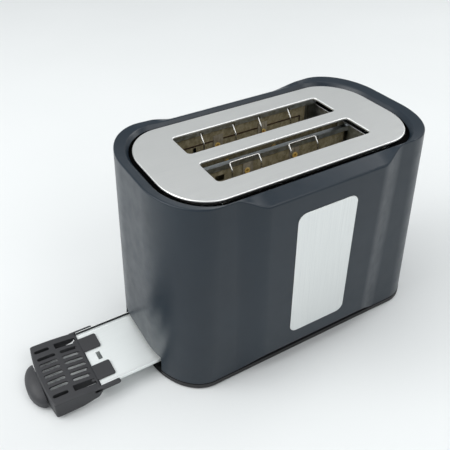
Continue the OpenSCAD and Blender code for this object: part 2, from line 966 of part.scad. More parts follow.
// Thin trim plate lying on the sloping end wall
module control_panel() {
    z_mid = (panel_low + panel_high) / 2;
    color(black_grey)
        difference() {
            translate([half_length(z_mid) + 0.08, 0, z_mid])
                rotate([0, -end_slope, 0])
                    rotate([0, 90, 0])
                        linear_extrude(1.2)
                            rounded(panel_high - panel_low, 2 * panel_half, 5);
            control_cuts(half_top, half_length(0) + 5);
        }
}

module browning_knob() {
    x0 = half_length(knob_z - knob_diameter / 2) + 2;
    r = knob_diameter / 2;
    color(part_grey)
        translate([x0, 0, knob_z])
            rotate([0, 90, 0])
                difference() {
                    union() {
                        rotate_extrude($fn = 2 * round_steps)
                            polygon([[0, 0], [r, 0], [r, 3], [r - 1.5, 4], [r - 3, 12],
                                     [r - 4.5, 13.5], [0, 13.5]]);
                        translate([0, 0, board_x + 6 - x0])
                            cylinder(h = x0 - board_x - 6 + 1, r = knob_shaft, $fn = round_steps);
                    }
                    translate([-r + 2, -0.8, 12.6])
                        cube([11, 1.6, 2]);
                }
}

module push_button(i) {
    x0 = board_x + 9.1 + button_travel;
    x1 = half_length(button_z) + 3.4;
    color(part_grey)
        translate([x0, i * button_pitch, button_z])
            rotate([0, 90, 0])
                union() {
                    linear_extrude(x1 - x0)
                        rounded(2 * button_half_z, 2 * button_half_y, 1.2);
                    linear_extrude(2)
                        rounded(2 * button_half_z + 2.4, 2 * button_half_y + 2.4, 1.2);
                }
}

module cancel_button() {
    push_button(-1);
}

module reheat_button() {
    push_button(0);
}

module defrost_button() {
    push_button(1);
}

// Crumb tray --------------------------------------------------------------------------

module tray_plate() {
    half = tray_width / 2;
    color(steel_grey)
        difference() {
            union() {
                box([handle_inner + touch, -half, sheet_z], [tray_end, half, sheet_z + sheet]);
                // tongue that the handle is pressed over
                box([tongue_end, -tongue_half, sheet_z], [handle_inner + cut, tongue_half, sheet_z + sheet]);
                for (s = [-1, 1]) {
                    box([handle_inner + 2, s > 0 ? half - sheet : -half, sheet_z],
                        [tray_end, s > 0 ? half : -half + sheet, sheet_z + tray_lip]);
                    box([handle_inner + 2, s > 0 ? half - sheet - tray_band : -half, sheet_z],
                        [tray_end, s > 0 ? half : -half + sheet + tray_band, sheet_z + sheet + band_rise]);
                }
                box([tray_end - sheet, -half, sheet_z], [tray_end, half, sheet_z + tray_lip]);
            }
            box([catch_hole[0], -catch_hole[2], sheet_z - cut],
                [catch_hole[1], catch_hole[2], sheet_z + 2 * cut]);
        }
}

// Plan of the handle, its outer edge slightly bowed
module handle_plan(inset) {
    r = (pow(handle_width / 2, 2) + handle_bow * handle_bow) / (2 * handle_bow);
    half = handle_width / 2 - inset;
    intersection() {
        translate([handle_outer - handle_bow, -half])
            square([handle_inner - handle_outer + handle_bow, 2 * half]);
        translate([handle_outer - handle_bow + r + inset, 0])
            circle(r, $fn = 360);
    }
}

// Everything under the handle's crowned top, lowered by drop
module under_crown(drop) {
    translate([handle_outer, -50, handle_top - crown_radius])
        rotate([-90, 0, 0])
            cylinder(h = 100, r = crown_radius - drop, $fn = 360);
}

// Rounded slot right through the handle's top
module vent(x, y, length) {
    translate([x, y, tray_low])
        linear_extrude(handle_top)
            rounded(length, vent_width, vent_width / 2 - 0.05);
}

// Hollow half dome to pull with, on the handle's outer edge
module grip() {
    edge = handle_outer - handle_bow;
    intersection() {
        translate([edge, 0, grip_low])
            scale([grip_out / grip_half, 1, 1])
                rotate_extrude($fn = 2 * round_steps)
                    polygon(concat([[0, 0], [grip_half, 0]],
                                   [for (t = [0 : 10 : 90]) [grip_half * cos(t), grip_side - grip_low
                                       + (grip_top - grip_side) * sin(t)]]));
        box([edge - grip_out - cut, -grip_half - cut, grip_low],
            [edge + 2.5, grip_half + cut, handle_top + cut]);
    }
}

module tray_handle() {
    half = handle_width / 2;
    color(part_grey)
        difference() {
            union() {
                difference() {
                    intersection() {
                        translate([0, 0, tray_low])
                            linear_extrude(handle_top)
                                handle_plan(0);
                        under_crown(0);
                    }
                    intersection() {
                        translate([0, 0, tray_low - cut])
                            linear_extrude(handle_top)
                                handle_plan(handle_wall);
                        under_crown(handle_skin);
                    }
                    // the side walls rise towards the tray
                    translate([0, -50, 0])
                        rotate([-90, 0, 0])
                            linear_extrude(100)
                                polygon([[handle_inner - 16.7, -tray_low + cut], [handle_inner - 16.7, -tray_low],
                                         [handle_inner - 3.7, -5.4],
                                         [handle_inner + cut, -arm_low], [handle_inner + cut, cut]]);
                }
                for (s = [-1, 1]) {
                    intersection() {
                        box([handle_outer, s * rib_y - 0.8, rib_low],
                            [handle_inner, s * rib_y + 0.8, handle_top]);
                        under_crown(1);
                    }
                    box([handle_inner - 3, s > 0 ? half - arm_thick : -half, arm_low],
                        [arm_end, s > 0 ? half : -half + arm_thick, arm_top]);
                    rod_along_y([arm_end, s > 0 ? half - arm_thick : -half, (arm_low + arm_top) / 2],
                              (arm_top - arm_low) / 2, arm_thick);
                    box([handle_inner - 4, s * tab_y - tab_half, sheet_z + sheet + 0.05],
                        [tab_end, s * tab_y + tab_half, sheet_z + sheet + 1.4]);
                }
                grip();
            }
            for (s = [-1, 1]) {
                for (i = [0.5 : 1 : 2.5]) {
                    vent(vent_outer_x, s * i * vent_pitch, vent_length);
                    vent(vent_inner_x, s * i * vent_pitch, vent_length);
                }
                vent(vent_outer_x - (vent_length - vent_short) / 2, s * vent_last_y, vent_short);
                translate([vent_inner_x - 0.6, s * window_y, tray_low])
                    linear_extrude(handle_top)
                        square(window_size, center = true);
            }
        }
}

// What is drawn -----------------------------------------------------------------------

outer_shell();
top_plate();
badge_plate();
base_plate();
feet();
base_screws();
left_end_frame();
right_end_frame();
front_heat_shield();
rear_heat_shield();
mica_board(-outer_face, 1, rail_high - sheet - touch, outer_board_ends, outer_notch, strip_rivets);  // mica_board_front_outer
mica_board(-inner_face, -1, rail_inner_front - sheet - touch, inner_board_ends,  // mica_board_front_inner
               inner_notch, strip_rivets);
mica_board(inner_face, 1, rail_inner_rear - sheet - touch, inner_board_ends, inner_notch, back_rivets);  // mica_board_rear_inner
mica_board(outer_face, -1, rail_high - sheet - touch, outer_board_ends, outer_notch, strip_rivets);  // mica_board_rear_outer
heating_wire(-outer_face, 1, first_wire_outer);  // heating_wire_front_outer
heating_wire(-inner_face, -1, first_wire_inner);  // heating_wire_front_inner
heating_wire(inner_face, 1, first_wire_inner);  // heating_wire_rear_inner
heating_wire(outer_face, -1, first_wire_outer);  // heating_wire_rear_outer
upper_rail(-outer_face, 1, rail_high, outer_strip_gap, outer_depth, guard_pairs_outer);  // upper_rail_front_outer
upper_rail(-inner_face, -1, rail_inner_front, inner_strip_gap, inner_depth, []);  // upper_rail_front_inner
upper_rail(inner_face, 1, rail_inner_rear, inner_strip_gap, inner_depth, []);  // upper_rail_rear_inner
upper_rail(outer_face, -1, rail_high, outer_strip_gap, outer_depth, guard_pairs_outer);  // upper_rail_rear_outer
lower_rail(-outer_face, 1, outer_depth, outer_start + outer_reach);  // lower_rail_front_outer
lower_rail(-inner_face, -1, inner_depth, inner_start + inner_reach);  // lower_rail_front_inner
lower_rail(inner_face, 1, inner_depth, inner_start + inner_reach);  // lower_rail_rear_inner
lower_rail(outer_face, -1, outer_depth, outer_start + outer_reach);  // lower_rail_rear_outer
guard_wires(-outer_face, 1, guard_pairs_outer, rail_high - outer_guard_drop, outer_start, outer_reach);  // guard_wires_front_outer
guard_wires(-inner_face, -1, guard_pairs_inner, rail_inner_front + inner_guard_lift, inner_start,  // guard_wires_front_inner
                inner_reach);
guard_wires(inner_face, 1, guard_pairs_inner, rail_inner_rear + inner_guard_lift, inner_start,  // guard_wires_rear_inner
                inner_reach);
guard_wires(outer_face, -1, guard_pairs_outer, rail_high - outer_guard_drop, outer_start, outer_reach);  // guard_wires_rear_outer
mica_strips();
eyelets();
guide_rod();
rod_bracket();
return_spring();
carriage_slider();
bread_rack_front();
bread_rack_rear();
lever_arm();
lever_knob();
keeper_plate();
magnet_coil();
magnet_core();
control_board();
potentiometer();
button_switches();
terminal_block();
frame_screws();
control_panel();
browning_knob();
cancel_button();
reheat_button();
defrost_button();
cord_gland();
tray_plate();
tray_handle();
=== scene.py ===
"""A two-slice pop-up toaster with its crumb tray pulled out, on a pale worktop in soft light.

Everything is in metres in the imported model's frame; lengths written in millimetres pass through MM.
"""

import json
from math import cos, pi, radians, sin, tan

import bmesh
import bpy
from mathutils import Matrix, Vector


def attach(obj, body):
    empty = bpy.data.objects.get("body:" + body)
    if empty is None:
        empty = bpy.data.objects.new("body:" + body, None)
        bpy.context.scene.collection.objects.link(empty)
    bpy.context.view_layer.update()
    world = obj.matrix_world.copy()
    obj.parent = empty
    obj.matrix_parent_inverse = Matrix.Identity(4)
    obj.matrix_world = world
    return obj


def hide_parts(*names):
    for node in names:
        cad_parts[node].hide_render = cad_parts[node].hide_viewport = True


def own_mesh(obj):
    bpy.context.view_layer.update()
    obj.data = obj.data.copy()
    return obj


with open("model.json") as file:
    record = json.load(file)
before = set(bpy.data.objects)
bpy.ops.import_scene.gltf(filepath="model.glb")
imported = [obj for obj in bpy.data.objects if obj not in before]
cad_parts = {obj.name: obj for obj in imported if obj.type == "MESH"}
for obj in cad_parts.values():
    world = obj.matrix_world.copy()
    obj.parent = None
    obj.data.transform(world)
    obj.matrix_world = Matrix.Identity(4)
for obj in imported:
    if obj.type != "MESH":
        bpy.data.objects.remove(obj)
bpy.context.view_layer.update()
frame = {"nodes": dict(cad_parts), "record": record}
scene = bpy.context.scene
MM = 0.001


# Camera, lights and floor ------------------------------------------------------------


def make_camera():
    azimuth, elevation, roll = radians(-30.03), radians(37.18), radians(-0.714)
    back = Vector((sin(azimuth) * cos(elevation), -cos(azimuth) * cos(elevation), sin(elevation)))
    right = Vector((cos(azimuth), sin(azimuth), 0))
    up = back.cross(right)
    rolled = (cos(roll) * right + sin(roll) * up, cos(roll) * up - sin(roll) * right, back)
    data = bpy.data.cameras.new("camera")
    data.lens, data.sensor_width = 47.416, 36
    camera = bpy.data.objects.new("camera", data)
    place = Matrix.Translation((-0.2409, -0.3412, 0.4002))
    camera.matrix_world = place @ Matrix(rolled).transposed().to_4x4()
    scene.collection.objects.link(camera)
    scene.camera = camera


def area_light(name, place, target, size, power, colour=(1, 1, 1)):
    data = bpy.data.lights.new(name, "AREA")
    data.shape, data.size, data.size_y = "RECTANGLE", *size
    data.energy, data.color = power, colour
    lamp = bpy.data.objects.new(name, data)
    lamp.location = place
    lamp.rotation_euler = (Vector(place) - Vector(target)).to_track_quat("Z", "Y").to_euler()
    scene.collection.objects.link(lamp)


def make_light():
    scene.view_settings.view_transform = "Standard"
    world = bpy.data.worlds.new("studio")
    world.use_nodes = True
    sky = world.node_tree.nodes["Background"]
    sky.inputs["Color"].default_value = (0.94, 0.97, 0.99, 1)
    sky.inputs["Strength"].default_value = 0.5
    scene.world = world
    area_light("left_softbox", (-1.5, 0.3, 1.3), (0, 0, 0.08), (1.4, 1.4), 19)
    area_light("back_left_softbox", (-1.3, 0.9, 1.2), (0, 0, 0.08), (1.2, 1.2), 4)
    area_light("top_softbox", (-0.1, 0.3, 1.7), (0, 0, 0.1), (1.2, 1.2), 5)
    area_light("front_softbox", (0.5, -1.3, 1.4), (0, 0, 0.1), (1.2, 1.2), 9)
    area_light("right_softbox", (1.3, 0.05, 1.1), (0, 0, 0.1), (0.8, 0.8), 6)


# Materials ---------------------------------------------------------------------------


class Finish:
    """A Principled material made of a few procedural layers in the object's own frame."""

    def __init__(self, name, colour, rough, metal=0.0):
        self.material = bpy.data.materials.new(name)
        self.material.use_nodes = True
        self.nodes = self.material.node_tree.nodes
        self.links = self.material.node_tree.links
        self.shader = self.nodes["Principled BSDF"]
        self.shader.inputs["Base Color"].default_value = (*colour, 1)
        self.shader.inputs["Roughness"].default_value = rough
        self.shader.inputs["Metallic"].default_value = metal
        self.place = self.nodes.new("ShaderNodeTexCoord").outputs["Object"]
        self.last_bump = None

    def put(self, **sockets):
        for name, value in sockets.items():
            self.shader.inputs[name.replace("_", " ")].default_value = value
        return self

    def scaled(self, scale):
        node = self.nodes.new("ShaderNodeMapping")
        node.inputs["Scale"].default_value = scale
        self.links.new(self.place, node.inputs["Vector"])
        return node.outputs["Vector"]

    def noise(self, scale, detail=3.0, rough=0.55):
        """scale: features per metre along X, Y and Z."""
        node = self.nodes.new("ShaderNodeTexNoise")
        node.inputs["Scale"].default_value = 1
        node.inputs["Detail"].default_value = detail
        node.inputs["Roughness"].default_value = rough
        self.links.new(self.scaled(scale), node.inputs["Vector"])
        return node.outputs["Fac"]

    def cells(self, scale, output="Color"):
        node = self.nodes.new("ShaderNodeTexVoronoi")
        node.inputs["Scale"].default_value = 1
        self.links.new(self.scaled(scale), node.inputs["Vector"])
        return node.outputs[output]

    def spread(self, value, low, high, start=0.3, end=0.7):
        node = self.nodes.new("ShaderNodeMapRange")
        for name, number in (("From Min", start), ("From Max", end), ("To Min", low), ("To Max", high)):
            node.inputs[name].default_value = number
        self.links.new(value, node.inputs["Value"])
        return node.outputs["Result"]

    def colours(self, value, *stops):
        """stops: (place, red, green, blue), the first and the last at the ends of the ramp."""
        ramp = self.nodes.new("ShaderNodeValToRGB")
        points = ramp.color_ramp.elements
        while len(points) < len(stops):
            points.new(0.5)
        for point, stop in zip(points, stops):
            point.position = stop[0]
            point.color = (*stop[1:], 1)
        self.links.new(value, ramp.inputs["Fac"])
        self.links.new(ramp.outputs["Color"], self.shader.inputs["Base Color"])
        return self

    def rough(self, value, low, high):
        self.links.new(self.spread(value, low, high), self.shader.inputs["Roughness"])
        return self

    def bump(self, value, height, strength=1.0):
        """height: metres from the lowest to the highest point."""
        node = self.nodes.new("ShaderNodeBump")
        node.inputs["Distance"].default_value = height
        node.inputs["Strength"].default_value = strength
        self.links.new(value, node.inputs["Height"])
        if self.last_bump:
            self.links.new(self.last_bump, node.inputs["Normal"])
        self.last_bump = node.outputs["Normal"]
        self.links.new(self.last_bump, self.shader.inputs["Normal"])
        return self


def cube_scale(value):
    return (value, value, value)


def moulded(name, dark, light, rough, grain, height):
    """Moulded plastic: fine grain, and gloss that varies a little over the surface."""
    f = Finish(name, light, rough)
    f.colours(f.noise(cube_scale(25)), (0.3, *dark), (0.7, *light))
    f.rough(f.noise(cube_scale(90), 5), rough - 0.05, rough + 0.05)
    return f.bump(f.noise(cube_scale(grain), 2), height)


def brushed(name, dark, light, rough, streaks):
    """Brushed metal: streaks with a few deeper scratches among them."""
    f = Finish(name, light, rough, 1.0)
    fine = f.noise(streaks, 4, 0.7)
    f.colours(fine, (0.25, *dark), (0.75, *light))
    f.rough(fine, rough - 0.07, rough + 0.09)
    f.bump(fine, 0.00001)
    return f.bump(f.spread(f.noise([s * 0.35 for s in streaks], 1), 0, 1, 0.62, 0.72), 0.000008)


def galvanised(name, dark, light, rough):
    """Zinc-coated steel: faint crystals, light handling marks."""
    f = Finish(name, light, rough, 1.0)
    grain = f.cells(cube_scale(420))
    f.colours(grain, (0.0, *dark), (1.0, *light))
    f.rough(grain, rough - 0.06, rough + 0.08)
    return f.bump(f.noise((900, 160, 900), 4), 0.00001)


def make_finishes():
    shell = moulded("satin_shell", (0.0025, 0.0105, 0.02), (0.0035, 0.013, 0.024), 0.36, 2600, 0.00001)
    shell.put(Specular_IOR_Level=0.5)
    handle = moulded("grained_handle", (0.03, 0.031, 0.034), (0.04, 0.041, 0.045), 0.55, 2200, 0.00002)
    control = moulded("satin_control", (0.03, 0.033, 0.036), (0.038, 0.041, 0.045), 0.34, 3200, 0.000006)
    # Near-black finish for the faces in the groove round the top plate: painted shade, darker than the
    # shell's own plastic.
    groove_shade_finish = moulded("groove_painted_shade", (0.001, 0.001, 0.0012), (0.0016, 0.0016, 0.0018), 0.8, 2000, 0.00001)
    groove_shade_finish.put(Specular_IOR_Level=0.08)
    base = moulded("matt_black_base", (0.012, 0.012, 0.013), (0.018, 0.018, 0.02), 0.6, 2000, 0.00002)
    rubber = moulded("rubber", (0.01, 0.01, 0.01), (0.016, 0.016, 0.016), 0.8, 1400, 0.00004)
    part = moulded("moulded_part", (0.05, 0.05, 0.052), (0.07, 0.07, 0.073), 0.5, 2000, 0.00002)
    panel = moulded("gloss_panel", (0.006, 0.006, 0.007), (0.009, 0.009, 0.01), 0.14, 500, 0.000002)
    white = moulded("white_moulding", (0.6, 0.59, 0.55), (0.7, 0.69, 0.65), 0.5, 1500, 0.00002)
    print_white = moulded("printed_marks", (0.62, 0.63, 0.63), (0.72, 0.73, 0.73), 0.5, 4000, 0.000004)

    plate = brushed("brushed_aluminium", (0.8, 0.81, 0.795), (0.87, 0.88, 0.865), 0.42, (26, 4200, 4200))
    badge = brushed("badge_aluminium", (0.68, 0.7, 0.7), (0.86, 0.88, 0.87), 0.36, (3800, 3800, 18))
    zinc = galvanised("galvanised_steel", (0.55, 0.58, 0.59), (0.74, 0.78, 0.79), 0.34)
    tray = Finish("tray_steel", (0.95, 0.98, 0.97), 0.42, 0.4)
    rolling = tray.noise((60, 1500, 1500), 3)
    tray.colours(rolling, (0.3, 0.91, 0.95, 0.94), (0.7, 0.94, 0.98, 0.97)).rough(rolling, 0.34, 0.4)
    tray.bump(rolling, 0.000001)
    # Near-white finish for the end frames' top edges: painted highlight.
    painted_edge_highlight = galvanised("painted_edge_highlight", (0.9, 0.92, 0.92), (0.97, 0.98, 0.98), 0.6)
    painted_edge_highlight.put(Metallic=0.2)
    # Dark finish for the inner faces of the tray's turned-up sides: painted shade.
    flange_shade_finish = galvanised("flange_painted_shade", (0.03, 0.032, 0.034), (0.07, 0.072, 0.075), 0.5)
    sheet = galvanised("dark_sheet_steel", (0.28, 0.29, 0.3), (0.42, 0.43, 0.44), 0.42)

    wire = Finish("drawn_wire", (0.8, 0.8, 0.77), 0.22, 1.0)
    drawn = wire.noise((700, 3500, 700), 3)
    wire.colours(drawn, (0.3, 0.55, 0.54, 0.51), (0.7, 0.86, 0.85, 0.82)).rough(drawn, 0.14, 0.32)

    brass = Finish("stamped_brass", (0.8, 0.5, 0.12), 0.35, 0.3)
    tarnish = brass.noise(cube_scale(700), 4)
    brass.colours(tarnish, (0.3, 0.95, 0.55, 0.1), (0.7, 1.0, 0.8, 0.3)).rough(tarnish, 0.4, 0.22)

    nichrome = Finish("heated_ribbon", (0.2, 0.13, 0.1), 0.4, 1.0)
    heat = nichrome.noise(cube_scale(120), 3)
    nichrome.colours(heat, (0.3, 0.12, 0.08, 0.07), (0.7, 0.3, 0.21, 0.15)).rough(heat, 0.5, 0.32)

    mica = Finish("mica_board", (0.2, 0.14, 0.07), 0.4)
    flakes = mica.noise((260, 260, 150), 6, 0.7)
    mica.colours(flakes, (0.25, 0.15, 0.125, 0.07), (0.5, 0.27, 0.23, 0.14), (0.75, 0.5, 0.44, 0.3))
    mica.rough(mica.cells(cube_scale(500)), 0.22, 0.5).bump(flakes, 0.00006)

    strip = Finish("mica_strip", (0.3, 0.26, 0.2), 0.45)
    flecks = strip.noise((300, 300, 120), 5, 0.65)
    strip.colours(flecks, (0.3, 0.16, 0.13, 0.09), (0.7, 0.42, 0.38, 0.3)).rough(flecks, 0.3, 0.5)

    copper = Finish("copper_winding", (0.45, 0.17, 0.07), 0.3, 0.9)
    turns = copper.noise((60, 60, 2600), 1)
    copper.colours(turns, (0.35, 0.22, 0.07, 0.03), (0.65, 0.62, 0.27, 0.12)).bump(turns, 0.0001)

    board = Finish("circuit_board", (0.02, 0.13, 0.06), 0.3)
    traces = board.cells((0, 260, 260), "Distance")
    board.colours(traces, (0.42, 0.018, 0.1, 0.045), (0.46, 0.03, 0.2, 0.09)).bump(traces, 0.00003)
    return {
        "shell_plastic": shell, "brushed_aluminium": plate, "badge_aluminium": badge, "base_plastic": base,
        "foot_rubber": rubber, "zinc_steel": zinc, "dark_sheet": sheet, "tray_steel": tray,
        "flange_painted_shade": flange_shade_finish, "painted_edge_highlight": painted_edge_highlight, "groove_painted_shade": groove_shade_finish, "mica": mica, "mica_strip": strip,
        "nichrome": nichrome, "brass": brass, "wire_steel": wire, "handle_plastic": handle,
        "control_plastic": control, "panel_black": panel, "coil_copper": copper, "board_green": board,
        "terminal_white": white, "moulded_part": part, "print_white": print_white,
    }


make_camera()
make_light()
finishes = make_finishes()


# Mesh helpers ------------------------------------------------------------------------


def new_piece(name, mesh, body, slot, finish=None, nodes=()):
    """Puts a finished mesh in the scene, riding on a body and standing for CAD nodes."""
    mesh.materials.clear()
    mesh.materials.append(finishes[finish or slot].material)
    piece = bpy.data.objects.new(name, mesh)
    scene.collection.objects.link(piece)
    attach(piece, body)
    if nodes:
        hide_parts(*nodes)
    return piece


def from_bmesh(bm, name, sharp=30):
    """Finished mesh with outward faces, smooth but for edges sharper than the angle given."""
    bmesh.ops.remove_doubles(bm, verts=bm.verts, dist=1e-7)
    bmesh.ops.recalc_face_normals(bm, faces=bm.faces)
    for face in bm.faces:
        face.smooth = True
    for edge in bm.edges:
        edge.smooth = edge.is_manifold and edge.calc_face_angle(0) < radians(sharp)
    mesh = bpy.data.meshes.new(name)
    bm.to_mesh(mesh)
    bm.free()
    return mesh


def soften(piece, width=0.0, steps=2, angle=35):
    """Rounds the hard edges over and keeps broad faces flat in the light."""
    if width:
        edge = piece.modifiers.new("rounded_edges", "BEVEL")
        edge.width, edge.segments = width * MM, steps
        edge.limit_method, edge.angle_limit = "ANGLE", radians(angle)
        edge.harden_normals = True
        edge.miter_outer = "MITER_ARC"
    normals = piece.modifiers.new("flat_faces", "WEIGHTED_NORMAL")
    normals.keep_sharp = True
    return piece


def refined(node, body, slot, width, steps=2, finish=None, angle=35):
    """The CAD node's own shape with its hard edges rounded over."""
    bm = bmesh.new()
    bm.from_mesh(frame["nodes"][node].data)
    bmesh.ops.remove_doubles(bm, verts=bm.verts, dist=1e-6)
    bmesh.ops.dissolve_limit(bm, angle_limit=radians(0.6), verts=bm.verts, edges=bm.edges)
    mesh = from_bmesh(bm, node + "_mesh", 30)
    return soften(new_piece(node + "_piece", mesh, body, slot, finish, [node]), width, steps, angle)


def cornered(points, radii, steps=4, closed=True):
    """The points with each corner replaced by a short curve of about that radius."""
    made = []
    for k, point in enumerate(points):
        last = not closed and k in (0, len(points) - 1)
        if last or not radii[k]:
            made.append(point)
            continue
        before, after = points[k - 1] - point, points[(k + 1) % len(points)] - point
        start = point + before.normalized() * min(radii[k], before.length * 0.48)
        end = point + after.normalized() * min(radii[k], after.length * 0.48)
        for i in range(steps + 1):
            t = i / steps
            made.append(start * (1 - t) ** 2 + point * 2 * t * (1 - t) + end * t * t)
    return made


def skin(bm, columns, wrap=True):
    """Quads between neighbouring columns of points, each column a closed loop. Returns the vertices."""
    verts = [[bm.verts.new(p * MM) for p in column] for column in columns]
    count = len(columns[0])
    for i in range(len(columns) if wrap else len(columns) - 1):
        one, two = verts[i], verts[(i + 1) % len(columns)]
        for k in range(count):
            bm.faces.new((one[k], two[k], two[(k + 1) % count], one[(k + 1) % count]))
    return verts


def tube(bm, path, radius, sides=12):
    """Round wire along a path of points in millimetres, closed at both ends."""
    heading = (path[1] - path[0]).normalized()
    side = heading.orthogonal().normalized()
    rings = []
    for k, point in enumerate(path):
        ahead = (path[min(k + 1, len(path) - 1)] - path[max(k - 1, 0)]).normalized()
        side = (side - ahead * side.dot(ahead)).normalized()
        across = ahead.cross(side)
        rings.append([point + (side * cos(t) + across * sin(t)) * radius
                      for t in (2 * pi * i / sides for i in range(sides))])
    verts = skin(bm, rings, wrap=False)
    bm.faces.new(verts[0])
    bm.faces.new(verts[-1])


def lathe(bm, profile, place, steps=96, ribs=0, rib_depth=0.0):
    """Turned shape about the X axis through a place. profile: (radius, along X, share of the ribs)."""
    columns = []
    for i in range(steps):
        t = 2 * pi * i / steps
        dip = rib_depth * (0.5 + 0.5 * cos(ribs * t))
        columns.append([place + Vector((x, (r - dip * share) * cos(t), (r - dip * share) * sin(t)))
                        for r, x, share in profile])
    verts = [[bm.verts.new(p * MM) for p in column] for column in columns]
    for i in range(steps):
        one, two = verts[i], verts[(i + 1) % steps]
        for k in range(len(profile) - 1):
            bm.faces.new((one[k], two[k], two[k + 1], one[k + 1]))
    bm.faces.new([column[0] for column in verts])
    bm.faces.new([column[-1] for column in verts])


def rounded_rectangle(width, height, radius, steps=8, radius_y=None):
    """Points round a rectangle with round or elliptical corners, about its centre."""
    points = []
    tall = radius_y or radius
    for quarter, (sx, sy) in enumerate(((1, 1), (-1, 1), (-1, -1), (1, -1))):
        for i in range(steps + 1):
            t = pi / 2 * (quarter + i / steps)
            x = sx * (width / 2 - radius) + radius * cos(t)
            points.append((x, sy * (height / 2 - tall) + tall * sin(t)))
    return points


def prism(bm, outline, place, length):
    """Straight solid from a flat outline. place(u, v, w) gives the point at u, v and depth w."""
    columns = [[place(u, v, 0), place(u, v, length)] for u, v in outline]
    verts = [[bm.verts.new(p * MM) for p in column] for column in columns]
    for i, one in enumerate(verts):
        two = verts[(i + 1) % len(verts)]
        bm.faces.new((one[0], two[0], two[1], one[1]))
    bm.faces.new([column[0] for column in verts])
    bm.faces.new([column[1] for column in verts])


def ring_wall(bm, rings, unit=MM):
    """Quads from each ring of points to the next. Returns the vertices of the first and last rings."""
    verts = [[bm.verts.new(p * unit) for p in ring] for ring in rings]
    for one, two in zip(verts, verts[1:]):
        for k in range(len(one)):
            bm.faces.new((one[k], one[(k + 1) % len(one)], two[(k + 1) % len(one)], two[k]))
    return verts[0], verts[-1]


def fill_between(bm, walls):
    """Closes the sheet between an outer wall and the openings' walls, first on top, then beneath."""
    for which in (0, 1):
        edges = []
        for pair in walls:
            ring = pair[which]
            edges += [bm.edges.get((ring[k], ring[(k + 1) % len(ring)])) for k in range(len(ring))]
        bmesh.ops.triangle_fill(bm, use_beauty=True, edges=edges)


def minus(mesh, cutter_bm, name):
    """The mesh with the cutter's shapes taken away."""
    bmesh.ops.recalc_face_normals(cutter_bm, faces=cutter_bm.faces)
    cutter_mesh = bpy.data.meshes.new("cutter")
    cutter_bm.to_mesh(cutter_mesh)
    cutter_bm.free()
    body, cutter = bpy.data.objects.new("uncut", mesh), bpy.data.objects.new("cutter", cutter_mesh)
    scene.collection.objects.link(body)
    scene.collection.objects.link(cutter)
    cuts = body.modifiers.new("cuts", "BOOLEAN")
    cuts.operation, cuts.solver, cuts.object = "DIFFERENCE", "EXACT", cutter
    made = bpy.data.meshes.new_from_object(body.evaluated_get(bpy.context.evaluated_depsgraph_get()))
    for used in (body, cutter):
        bpy.data.objects.remove(used)
    bm = bmesh.new()
    bm.from_mesh(made)
    return from_bmesh(bm, name)


# The shell and the top plate -----------------------------------------------------------

HALF_TOP, HALF_WIDTH, BULGE, HEIGHT = 121, 68.75, 7.4, 177
END_SLOPE = radians(3.04)
WAVE_OUT, WAVE_IN = 75, 50
CORNER_X, CORNER_Y = 36, 52
RIM_LOW, ARCH, DROP, WALL = 5.7, 12.6, 8.5, 2.4
BADGE_SIZE, BADGE_Z, BADGE_SINK = (54.7, 119.6), 92.5, 0.8
KNOB_Z, KNOB_RADIUS, BUTTON_Z, BUTTON_PITCH, LEVER_Z, LEVER_TRAVEL = 47, 17, 74, 13.5, 143, 52


def bulge_share(x):
    t = max(0, min(1, (WAVE_OUT - abs(x)) / (WAVE_OUT - WAVE_IN)))
    return t * t * (3 - 2 * t)


def half_length(z):
    return HALF_TOP + (HEIGHT - z) * tan(END_SLOPE)


def outline(length, width, corner_x, corner_y, out, corner_steps=40, wave_steps=28):
    """Outline of the body, anticlockwise: round corners and a long side that waves outwards."""
    quarter = []
    for i in range(corner_steps + 1):
        t = pi / 2 * i / corner_steps
        quarter.append((length - corner_x + corner_x * cos(t), width - corner_y + corner_y * sin(t)))
    for i in range(wave_steps + 1):
        x = WAVE_OUT - (WAVE_OUT - WAVE_IN) * i / wave_steps
        quarter.append((x, width + out * bulge_share(x)))
    left = [(-x, y) for x, y in reversed(quarter)]
    return quarter + left + [(-x, -y) for x, y in quarter] + [(x, -y) for x, y in reversed(quarter)]


def level(points, z, rise=0.0):
    return [Vector((x, y, z + rise * bulge_share(x))) for x, y in points]


